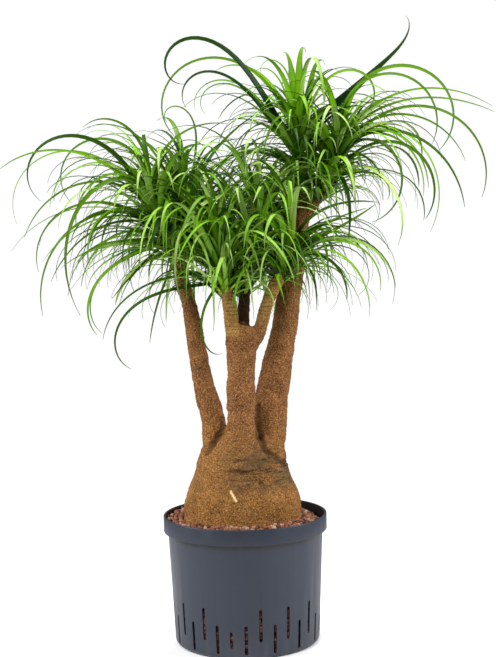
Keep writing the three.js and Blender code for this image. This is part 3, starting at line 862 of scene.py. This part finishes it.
def on_front(place):
    return place.y < front_depth and place.z < front_top


def carving(place):
    if not on_front(place):
        return 0.0
    uneven = place + noise.noise_vector(place * fold_wobble_scale) * fold_wobble
    depths = [depth * max(0, 1 - (line_distance(uneven, line) / (2 * half_width)) ** 2)
              for depth, half_width, line in carvings]
    return max(depths)


def scar_share(place):
    if not on_front(place):
        return 0.0
    core = scar_half_width * scar_core_share
    return 1 - smoothstep(core, scar_half_width, line_distance(place, scar_line))


# Leaves

def width_share(along, thinning):
    if along < widest:
        return mix(root_share, 1, math.sin(along / widest * math.pi / 2))
    return (1 - (along - widest) / (1 - widest)) ** thinning


def leaf_way(leaf, along):
    azimuth = math.radians(leaf["azimuth"] + leaf["swing"] * along * along)
    rise = math.radians(leaf["rise"] - leaf["bend"] * along ** leaf["curl"])
    return azimuth, rise


def leaf_line(head, leaf):
    core = Vector(head["foot"]).lerp(Vector(head["top"]), leaf["height"])
    core_radius = head["radius"] * mix(1, core_top_share, leaf["height"])
    start = math.radians(leaf["azimuth"])
    point = core + Vector((math.cos(start), math.sin(start), 0)) * core_radius * root_depth_share
    line = [point.copy()]
    step = leaf["length"] / fine_steps
    for fine in range(fine_steps):
        azimuth, rise = leaf_way(leaf, (fine + 0.5) / fine_steps)
        point += step * Vector((math.cos(rise) * math.cos(azimuth),
                                math.cos(rise) * math.sin(azimuth), math.sin(rise)))
        line.append(point.copy())
    return line


def station_share(leaf, share):
    """Stations lie closer together where the leaf bends faster."""
    low, high = 0.0, 1.0
    for _ in range(station_halvings):
        middle = (low + high) / 2
        if (middle + middle ** leaf["curl"]) / 2 < share:
            low = middle
        else:
            high = middle
    return (low + high) / 2


def leaf_stations(head, leaf, segments):
    line = leaf_line(head, leaf)
    return [leaf_frame(line, leaf, number / segments) for number in range(segments + 1)]


def leaf_frame(line, leaf, share):
    along = station_share(leaf, share)
    place = along * fine_steps
    index = min(int(place), fine_steps - 1)
    centre = line[index].lerp(line[index + 1], place - index)
    azimuth, rise = leaf_way(leaf, along)
    level = Vector((-math.sin(azimuth), math.cos(azimuth), 0))
    upper = Vector((-math.sin(rise) * math.cos(azimuth), -math.sin(rise) * math.sin(azimuth),
                    math.cos(rise)))
    twist = math.radians(leaf["roll"] + leaf["twist"] * along)
    across = level * math.cos(twist) + upper * math.sin(twist)
    normal = upper * math.cos(twist) - level * math.sin(twist)
    half_width = leaf["width"] / 2 * width_share(along, leaf["thinning"])
    return along, centre, across, normal, max(half_width, least_half_width)


def blade_shape(segments):
    """A straight blade of half width 1 along Y: a shallow channel above, a keel below."""
    deselect()
    bpy.ops.mesh.primitive_circle_add(vertices=4, radius=1, fill_type="NGON",
                                      rotation=(math.pi / 2, 0, 0))
    blade = new_piece("blade")
    edit(blade)
    for _ in range(segments):
        bpy.ops.mesh.extrude_region_move(TRANSFORM_OT_translate={"value": (0, 1 / segments, 0)})
    leave_edit()
    face_outwards(blade)
    return shape_of(blade)


def grown(shape, stations, tone):
    points, faces = shape
    segments = len(stations) - 1
    placed, along_values, across_values = [], [], []
    for point in points:
        along, centre, across, normal, half_width = stations[round(point.y * segments)]
        at_edge = abs(point.x) > 0.5
        depth = 0.0 if at_edge else half_width * mix(root_groove, tip_groove, along)
        if point.z < -0.5:
            depth += max(blade_thickness * mix(*keel_shares, along), least_keel)
        placed.append(centre + across * (point.x * half_width) - normal * depth)
        along_values.append(along)
        across_values.append(point.x if at_edge else 0.0)
    values = {"along": along_values, "across": across_values, "tone": [tone] * len(points),
              "under": [1.0 if point.z < -0.5 else 0.0 for point in points]}
    return placed, faces, values


def rule_leaf(rule, head, youth, number, draw):
    """A leaf of a rule: its youth is 0 for the head's lowest leaf and 1 for its youngest."""
    lowest_rise = head["lowest_rise"] + rule["lift"]
    return {
        "height": mix(*rule["heights"], youth),
        "azimuth": head["turn"] + golden_angle * number + spread(draw, rule["azimuth"]),
        "rise": mix(lowest_rise, rule["young_rise"], youth ** rule["rise_power"])
        + spread(draw, rule["rise"]),
        "bend": mix(*rule["bends"], youth) + spread(draw, rule["bend"]),
        "curl": mix(*rule["curls"], next(draw)),
        "length": head["leaf_length"] * mix(1, rule["young_length"], youth ** 3)
        * mix(*rule["lengths"], next(draw)),
        "swing": spread(draw, rule["swing"]),
        "twist": spread(draw, rule["twist"]),
        "width": leaf_width * mix(*rule["widths"], next(draw)),
        "roll": 0,
        "thinning": rule["thinning"],
    }


def front_leaf(row, draw):
    """A leaf from the table, its upper face rolled towards the front where it points aside."""
    _, height, azimuth, rise, bend, curl, length, width, _ = row
    return {"height": height, "azimuth": azimuth, "rise": rise, "bend": bend, "curl": curl,
            "length": length, "swing": 0, "twist": spread(draw, front_twist), "width": width,
            "roll": front_roll * math.cos(math.radians(azimuth)),
            "thinning": front_thinning if width < broad_leaf else broad_thinning}


def hides_trunk(head, leaf):
    """Whether a leaf hangs before the stretch of the right trunk that shows from the front."""
    middle = Vector(shown_wood)
    return any(point.y < shown_depth and (point.xz - middle).length < shown_reach
               for point in leaf_line(head, leaf))


def leaf_is_clear(head, leaf, wood):
    tree, samples = wood
    low, high = cad_box
    lowest = head["foot"][2] - fill_sink
    for step, point in enumerate(leaf_line(head, leaf)):
        if point.z < lowest:
            return False
        _, index, away = tree.find(point)
        if step > free_from * fine_steps and away < samples[index].w + wood_clearance:
            return False
        if any(point[axis] < low[axis] + side_room or point[axis] > high[axis] - side_room
               for axis in range(3)):
            return False
    return True


def rule_blade(blade, head, leaf, draw):
    return grown(blade, leaf_stations(head, leaf, blade_segments), next(draw) ** tone_fall)


def make_head(number, blade, long_blade, wood):
    head = heads[number]
    copies = []
    for index, row in enumerate(front_leaves):
        if row[0] == number:
            leaf = front_leaf(row, draws(front_seed + index))
            copies.append(grown(long_blade, leaf_stations(head, leaf, front_segments), row[-1]))
    for index in range(head["leaves"]):
        draw = draws(leaf_seed * (number + 1) + index)
        leaf = rule_leaf(main_rule, head, index / (head["leaves"] - 1), index, draw)
        if not hides_trunk(head, leaf):
            copies.append(rule_blade(blade, head, leaf, draw))
    for index in range(fill_leaves):
        draw = draws(fill_seed + leaf_seed * number + index)
        youth = index / (fill_leaves - 1)
        for _ in range(fill_tries):
            leaf = rule_leaf(fill_rule, head, youth, index + fill_turn, draw)
            if leaf_is_clear(head, leaf, wood) and not hides_trunk(head, leaf):
                copies.append(rule_blade(blade, head, leaf, draw))
                break
    leaves = gathered("leaves_" + head["name"], copies)
    smooth(leaves, 60)
    return leaves


def make_stem(head):
    foot, top = Vector(head["foot"]), Vector(head["top"])
    stations = [Vector((*foot.lerp(top, share), head["radius"] * size))
                for share, size in stem_profile]
    stem = make_limb(on_curve(stations, limb_sample))
    stem.name = "leafy_stem_" + head["name"]
    stem.data.name = stem.name
    smooth(stem, 60)
    return stem


# Materials

def paint(red, green, blue):
    """A colour given as on a screen, 0 to 255."""
    def light(value):
        value /= 255
        return value / 12.92 if value <= 0.04045 else ((value + 0.055) / 1.055) ** 2.4
    return light(red), light(green), light(blue), 1.0


class Graph:
    """Adds nodes to a material's or a group's tree and returns their outputs."""

    def __init__(self, tree):
        self.tree = tree

    def node(self, kind, inputs=(), **settings):
        made = self.tree.nodes.new(kind)
        for key, value in settings.items():
            setattr(made, key, value)
        for key, value in dict(inputs).items():
            self.set(made.inputs[key], value)
        return made

    def set(self, socket, value):
        if isinstance(value, bpy.types.NodeSocket):
            self.tree.links.new(value, socket)
        else:
            socket.default_value = value

    def place(self):
        return self.node("ShaderNodeTexCoord").outputs["Object"]

    def stretched(self, vector, scale):
        return self.node("ShaderNodeMapping", {"Vector": vector, "Scale": scale}).outputs[0]

    def attribute(self, name):
        return self.node("ShaderNodeAttribute", attribute_name=name).outputs["Fac"]

    def noise(self, vector, scale, detail=3.0, roughness=0.5):
        return self.node("ShaderNodeTexNoise", {
            "Vector": vector, "Scale": scale, "Detail": detail, "Roughness": roughness,
        }).outputs["Fac"]

    def cells(self, vector, scale, feature="F1"):
        made = self.node("ShaderNodeTexVoronoi", {"Vector": vector, "Scale": scale},
                         feature=feature)
        return made.outputs["Distance"]

    def cracks(self, vector, scale, width):
        return self.range(self.cells(vector, scale, "DISTANCE_TO_EDGE"), width, 0.02)

    def vector(self, operation, first, second=(0, 0, 0), output="Vector"):
        made = self.node("ShaderNodeVectorMath", {0: first, 1: second}, operation=operation)
        return made.outputs[output]

    def axis(self, place, name):
        return self.node("ShaderNodeSeparateXYZ", {0: place}).outputs[name]

    def range(self, value, low, high, start=0.0, stop=1.0):
        return self.node("ShaderNodeMapRange", {
            "Value": value, "From Min": low, "From Max": high, "To Min": start, "To Max": stop,
        }).outputs["Result"]

    def math(self, operation, first, second=0.0):
        return self.node("ShaderNodeMath", {0: first, 1: second}, operation=operation).outputs[0]

    def mix(self, share, first, second):
        made = self.node("ShaderNodeMix", data_type="RGBA")
        self.set(made.inputs["Factor"], share)
        self.set(made.inputs[6], first)
        self.set(made.inputs[7], second)
        return made.outputs[2]

    def both(self, first, second):
        return self.math("MULTIPLY", first, second)

    def over(self, colour, second, mask, amount=1.0):
        """Lays a second colour over the first where the mask is."""
        return self.mix(self.both(mask, amount), colour, second)

    def bump(self, height, strength, distance):
        return self.node("ShaderNodeBump", {
            "Height": height, "Strength": strength, "Distance": distance,
        }).outputs["Normal"]

    def coat(self, shader, colour, relief, strength, depth):
        """Gives a shader its colour, and a fine relief of a strength and a depth."""
        self.set(shader.inputs["Base Color"], colour)
        self.set(shader.inputs["Normal"], self.bump(relief, strength, depth))

    def mottled(self, place, blotch_scale, grain_scale, first, second):
        return self.group(mottle, {"Place": place, "Blotch Scale": blotch_scale,
                                   "Grain Scale": grain_scale, "First": first,
                                   "Second": second})

    def specked(self, place, scale, size):
        return self.group(specks, {"Place": place, "Scale": scale, "Size": size})["Mask"]

    def group(self, group, inputs):
        return self.node("ShaderNodeGroup", inputs, node_tree=group).outputs


def new_group(name, inputs, outputs):
    group = bpy.data.node_groups.new(name, "ShaderNodeTree")
    for key, (kind, value) in inputs.items():
        socket = group.interface.new_socket(key, in_out="INPUT", socket_type=kind)
        if value is not None:
            socket.default_value = value
    for key, kind in outputs.items():
        group.interface.new_socket(key, in_out="OUTPUT", socket_type=kind)
    graph = Graph(group)
    source = graph.node("NodeGroupInput").outputs
    sink = graph.node("NodeGroupOutput").inputs
    return group, graph, source, sink


def mottle_group():
    """Two colours mixed in soft blotches with fine grain over them."""
    group, graph, source, sink = new_group(
        "mottle",
        {"Place": ("NodeSocketVector", None), "Blotch Scale": ("NodeSocketFloat", 8.0),
         "Grain Scale": ("NodeSocketFloat", 200.0), "First": ("NodeSocketColor", None),
         "Second": ("NodeSocketColor", None)},
        {"Color": "NodeSocketColor", "Grain": "NodeSocketFloat"})
    blotch = graph.noise(source["Place"], source["Blotch Scale"], 4.0, 0.6)
    grain = graph.noise(source["Place"], source["Grain Scale"], 2.0, 0.6)
    share = graph.math("ADD", graph.range(blotch, 0.32, 0.68, 0.0, 0.75),
                       graph.range(grain, 0.35, 0.65, 0.0, 0.25))
    graph.set(sink["Color"], graph.mix(share, source["First"], source["Second"]))
    graph.set(sink["Grain"], grain)
    return group


def speck_group():
    """A mask of small separate specks."""
    group, graph, source, sink = new_group(
        "specks",
        {"Place": ("NodeSocketVector", None), "Scale": ("NodeSocketFloat", 150.0),
         "Size": ("NodeSocketFloat", 0.3)},
        {"Mask": "NodeSocketFloat"})
    bend = graph.both(graph.noise(source["Place"], 60.0, 2.0), 0.01)
    cells = graph.cells(graph.vector("ADD", source["Place"], bend), source["Scale"])
    graph.set(sink["Mask"], graph.range(graph.math("DIVIDE", cells, source["Size"]), 1.0, 0.7))
    return group


mottle = mottle_group()
specks = speck_group()


def new_material(name, **settings):
    material = bpy.data.materials.new(name)
    material.use_nodes = True
    graph = Graph(material.node_tree)
    shader = material.node_tree.nodes["Principled BSDF"]
    for key, value in settings.items():
        shader.inputs[key.replace("_", " ").title().replace("Ior", "IOR")].default_value = value
    return material, graph, shader


def pot_plastic():
    material, graph, shader = new_material("pot plastic", roughness=0.5)
    place = graph.place()
    height = graph.axis(place, "Z")
    radius = graph.vector("LENGTH", graph.vector("MULTIPLY", place, (1, 1, 0)), output="Value")
    tint = graph.mottled(place, 7.0, 420.0, paint(28, 36, 53), paint(23, 31, 46))
    streak = graph.noise(graph.stretched(place, (60, 60, 2.5)), 1.0, 3.0)
    dust = graph.both(graph.range(height, dust_height, 0.0), graph.range(streak, 0.4, 0.7))
    band = graph.range(height, *band_blend)
    inside = graph.both(band, graph.range(radius, *inside_blend, 1.0, 0.0))
    outside = graph.both(band, graph.range(radius, *inside_blend))
    # Painted shadow: a strip just under the band's overhang, up to where the band starts
    shade = graph.both(graph.range(height, *shade_blend),
                       graph.range(height, *band_blend, 1.0, 0.0))
    colour = graph.over(tint["Color"], paint(60, 66, 78), graph.range(streak, 0.5, 0.8), 0.15)
    colour = graph.over(colour, paint(96, 90, 82), dust, 0.25)
    # Painted shade: the inside wall above the clay is painted near black
    colour = graph.over(colour, paint(4, 4, 5), inside, 0.97)
    # Painted shade: the band's outside is painted a little darker and bluer
    colour = graph.over(colour, paint(10, 16, 36), outside, 0.25)
    # Painted shadow under the band's overhang
    colour = graph.over(colour, paint(8, 9, 13), shade, 0.85)
    graph.set(shader.inputs["Roughness"], graph.range(streak, 0.3, 0.7, 0.42, 0.56))
    graph.coat(shader, colour, tint["Grain"], 0.12, 0.0004)
    return material


def fired_clay():
    material, graph, shader = new_material("fired clay", roughness=0.9)
    place = graph.place()
    tone = graph.attribute("tone")
    tint = graph.mottled(place, 90.0, 900.0, paint(146, 94, 66), paint(104, 58, 36))
    pores = graph.specked(place, 700.0, 0.3)
    colour = graph.over(tint["Color"], paint(64, 26, 8), graph.range(tone, 0.1, 0.5, 0.9, 0.0))
    colour = graph.over(colour, paint(184, 156, 132), graph.range(tone, 0.72, 1.0), 0.7)
    colour = graph.over(colour, paint(48, 24, 16), pores, 0.6)
    graph.coat(shader, colour, graph.math("SUBTRACT", tint["Grain"], pores), 0.5, 0.0008)
    return material


def bed_clay():
    material, graph, shader = new_material("clay bed", roughness=0.95)
    # The bed stands for deeper clay and is painted darker than the granules, as painted shade in
    # the gaps between them
    tint = graph.mottled(graph.place(), 70.0, 300.0, paint(80, 38, 22), paint(44, 22, 14))
    graph.coat(shader, tint["Color"], tint["Grain"], 0.8, 0.002)
    return material


def cork_bark():
    material, graph, shader = new_material("cork bark", roughness=0.95, specular_ior_level=0.15)
    place = graph.place()
    height = graph.axis(place, "Z")
    youth = graph.attribute("youth")
    old = graph.mottled(place, 16.0, 260.0, paint(166, 116, 62), paint(104, 68, 32))
    upper = graph.mottled(place, 30.0, 300.0, paint(148, 98, 60), paint(76, 47, 26))
    young = graph.mottled(place, 40.0, 420.0, paint(190, 154, 88), paint(128, 92, 40))
    colour = graph.mix(graph.range(height, *upper_bark), old["Color"], upper["Color"])
    colour = graph.mix(youth, colour, young["Color"])

    wobble = graph.node("ShaderNodeTexNoise", {"Vector": place, "Scale": 45.0}).outputs["Color"]
    warped = graph.vector("ADD", place, graph.vector("MULTIPLY", wobble, (0.012,) * 3))
    cracks = graph.cracks(warped, 130.0, 0.10)
    pits = graph.specked(place, 170.0, 0.26)
    dark = graph.math("MAXIMUM", graph.both(cracks, 0.6), graph.both(pits, 0.75))
    rings = graph.both(graph.attribute("ring"), youth)
    colour = graph.over(colour, paint(96, 62, 36), graph.cracks(warped, 330.0, 0.12), 0.22)
    colour = graph.over(colour, paint(74, 46, 26), dark, graph.range(youth, 0.0, 1.0, 1.0, 0.3))
    colour = graph.over(colour, paint(70, 46, 22), rings, 0.9)
    grit = graph.noise(place, 310.0, 4.0, 0.8)
    colour = graph.over(colour, paint(206, 152, 86), graph.range(grit, 0.52, 0.64), 0.6)
    colour = graph.over(colour, paint(50, 28, 12), graph.range(grit, 0.49, 0.36), 0.8)

    stain = graph.both(graph.range(height, *stain_foot), graph.range(height, *stain_top))
    stain = graph.both(stain, graph.range(graph.axis(place, "X"), *stain_side, 0.15, 1.0))
    patch = graph.both(graph.range(graph.noise(place, 15.0, 3.0), 0.40, 0.54), stain)
    streaks = graph.noise(graph.stretched(place, (45, 45, 190)), 1.0, 4.0, 0.75)
    streaks = graph.both(graph.range(streaks, 0.52, 0.38), stain)
    colour = graph.over(colour, paint(88, 72, 50), patch, 0.65)
    colour = graph.over(colour, paint(40, 28, 17), streaks, 0.85)
    # Painted shade: the folds in the bark are painted darker with their depth
    colour = graph.over(colour, paint(52, 34, 20), graph.attribute("cut"), 0.6)
    # Painted shade on the limb behind the fork
    colour = graph.over(colour, paint(40, 22, 12), graph.attribute("limb_shade"), 0.9)
    colour = graph.over(colour, paint(236, 204, 150), graph.attribute("scar"))
    relief_height = graph.math("SUBTRACT", grit, graph.math("ADD", cracks, pits))
    graph.coat(shader, colour, relief_height, 0.6, 0.0016)
    return material


def strap_leaf():
    material, graph, shader = new_material("strap leaf", roughness=0.45, specular_ior_level=0.08)
    along = graph.attribute("along")
    across = graph.attribute("across")
    tone = graph.attribute("tone")
    blotch = graph.noise(graph.place(), 14.0, 3.0)
    # The leaf's green by tone: partly the leaves' own range, the darkest also painted shade in
    # the crown and the palest painted light
    middle = graph.over(paint(6, 32, 0), paint(140, 204, 14), graph.range(tone, 0.0, 0.5))
    middle = graph.over(middle, paint(204, 232, 138), graph.range(tone, 0.5, 1.0))
    middle = graph.over(middle, paint(40, 92, 2), graph.range(blotch, 0.4, 0.7), 0.3)
    middle = graph.over(middle, paint(46, 76, 8), graph.range(along, 0.45, 0.9), 0.5)
    # Leaf bases: dark green on darker leaves as painted shade deep in the crown, yellow-green on
    # paler ones
    base = graph.over(paint(10, 42, 2), paint(108, 166, 10), graph.range(tone, 0.2, 0.6))
    base = graph.over(base, paint(166, 206, 22), graph.range(tone, 0.7, 0.95))
    colour = graph.mix(graph.range(along, 0.04, 0.36), base, middle)

    side = graph.math("ABSOLUTE", across)
    # Painted highlight: a pale stripe along the midrib, stronger on paler leaves
    midrib_highlight = graph.both(graph.range(side, 0.25, 0.0), tone)
    blade = graph.node("ShaderNodeCombineXYZ", {"X": across, "Y": along, "Z": tone}).outputs[0]
    veins = graph.noise(graph.stretched(blade, (5, 9, 60)), 1.0, 2.0)
    dry_start = graph.range(tone, 0.0, 1.0, 1.0, 0.9)
    dry = graph.range(graph.math("SUBTRACT", along, dry_start), -0.04, 0.03)
    colour = graph.over(colour, paint(112, 158, 52), graph.attribute("under"), 0.35)
    colour = graph.over(colour, paint(34, 74, 4), graph.range(side, 0.55, 1.0), 0.55)
    colour = graph.over(colour, paint(150, 190, 66), midrib_highlight, 0.5)
    colour = graph.over(colour, paint(36, 84, 14), graph.range(veins, 0.4, 0.7), 0.18)
    colour = graph.over(colour, paint(98, 100, 60), dry, 0.5)
    graph.set(shader.inputs["Roughness"], graph.range(blotch, 0.3, 0.7, 0.32, 0.5))
    graph.coat(shader, colour, veins, 0.15, 0.0003)
    return material


def leafy_stem_skin():
    material, graph, shader = new_material("leafy stem", roughness=0.6)
    tint = graph.mottled(graph.place(), 60.0, 400.0, paint(116, 150, 46), paint(78, 112, 24))
    graph.coat(shader, tint["Color"], tint["Grain"], 0.3, 0.0008)
    return material


def wear(piece, material, slot, *replaced):
    piece.data.materials.clear()
    piece.data.materials.append(material)
    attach(piece, "root")
    if replaced:
        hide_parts(*replaced)


# Stage, light and camera

def seen_white(graph):
    """Full white where it is seen, and soft where it lights the plant."""
    seen = graph.node("ShaderNodeLightPath").outputs["Is Camera Ray"]
    return graph.range(seen, 0.0, 1.0, room_light, 1.0)


def floor_material():
    material, graph, shader = new_material("studio floor", roughness=0.9)
    shader.inputs["Base Color"].default_value = (0.86, 0.86, 0.86, 1)
    away = graph.vector("LENGTH", graph.place(), output="Value")
    glow = graph.node("ShaderNodeEmission", {"Strength": seen_white(graph)})
    blend = graph.node("ShaderNodeMixShader", {"Fac": graph.range(away, *floor_fade)})
    tree = material.node_tree
    tree.links.new(shader.outputs[0], blend.inputs[1])
    tree.links.new(glow.outputs[0], blend.inputs[2])
    tree.links.new(blend.outputs[0], tree.nodes["Material Output"].inputs["Surface"])
    return material


def make_floor():
    deselect()
    bpy.ops.mesh.primitive_circle_add(vertices=96, radius=floor_radius, fill_type="NGON",
                                      location=(0, 0, -floor_drop))
    floor = new_piece("studio_floor")
    floor.data.materials.append(floor_material())


def make_light(name, place, power):
    deselect()
    bpy.ops.object.light_add(type="AREA", location=place)
    light = bpy.context.active_object
    light.name = name
    light.data.shape = "DISK"
    light.data.size = light_size
    light.data.energy = power
    aim = Vector(light_aim) - Vector(place)
    light.rotation_euler = aim.to_track_quat("-Z", "Y").to_euler()


def set_film():
    """Plain tones, so that the leaves keep the photograph's fresh greens."""
    bpy.context.scene.view_settings.view_transform = "Standard"


def make_world():
    world = bpy.data.worlds.new("studio")
    bpy.context.scene.world = world
    world.use_nodes = True
    background = world.node_tree.nodes["Background"]
    background.inputs["Color"].default_value = (1, 1, 1, 1)
    graph = Graph(world.node_tree)
    graph.set(background.inputs["Strength"], seen_white(graph))


def make_camera():
    deselect()
    bpy.ops.object.camera_add(location=camera_place)
    camera = bpy.context.active_object
    camera.name = "photo_camera"
    camera.data.lens = camera_lens
    camera.data.clip_end = 200
    turn = (Matrix.Rotation(math.radians(90 + camera_pitch), 4, "X")
            @ Matrix.Rotation(math.radians(camera_roll), 4, "Z"))
    camera.rotation_euler = turn.to_euler()
    bpy.context.scene.camera = camera


def make_plant():
    wear(make_pot(), pot_plastic(), "pot_plastic", "pot")
    wear(make_granules(), fired_clay(), "expanded_clay", "clay_granules")
    wear(make_clay_bed(), bed_clay(), "expanded_clay")
    wear(make_trunk(), cork_bark(), "bark", "trunk")
    leaf, stem_skin = strap_leaf(), leafy_stem_skin()
    blade, long_blade = blade_shape(blade_segments), blade_shape(front_segments)
    samples = [point for limb in limbs for point in limb_curve(limb)]
    wood = (tree_of(samples), samples)
    for number, head in enumerate(heads):
        wear(make_head(number, blade, long_blade, wood), leaf, "leaf",
             "leaf_head_" + head["name"])
        wear(make_stem(head), stem_skin, "leaf")


make_plant()
make_floor()
make_world()
for light_name, light_place, light_power in lights:
    make_light(light_name, light_place, light_power)
make_camera()
set_film()
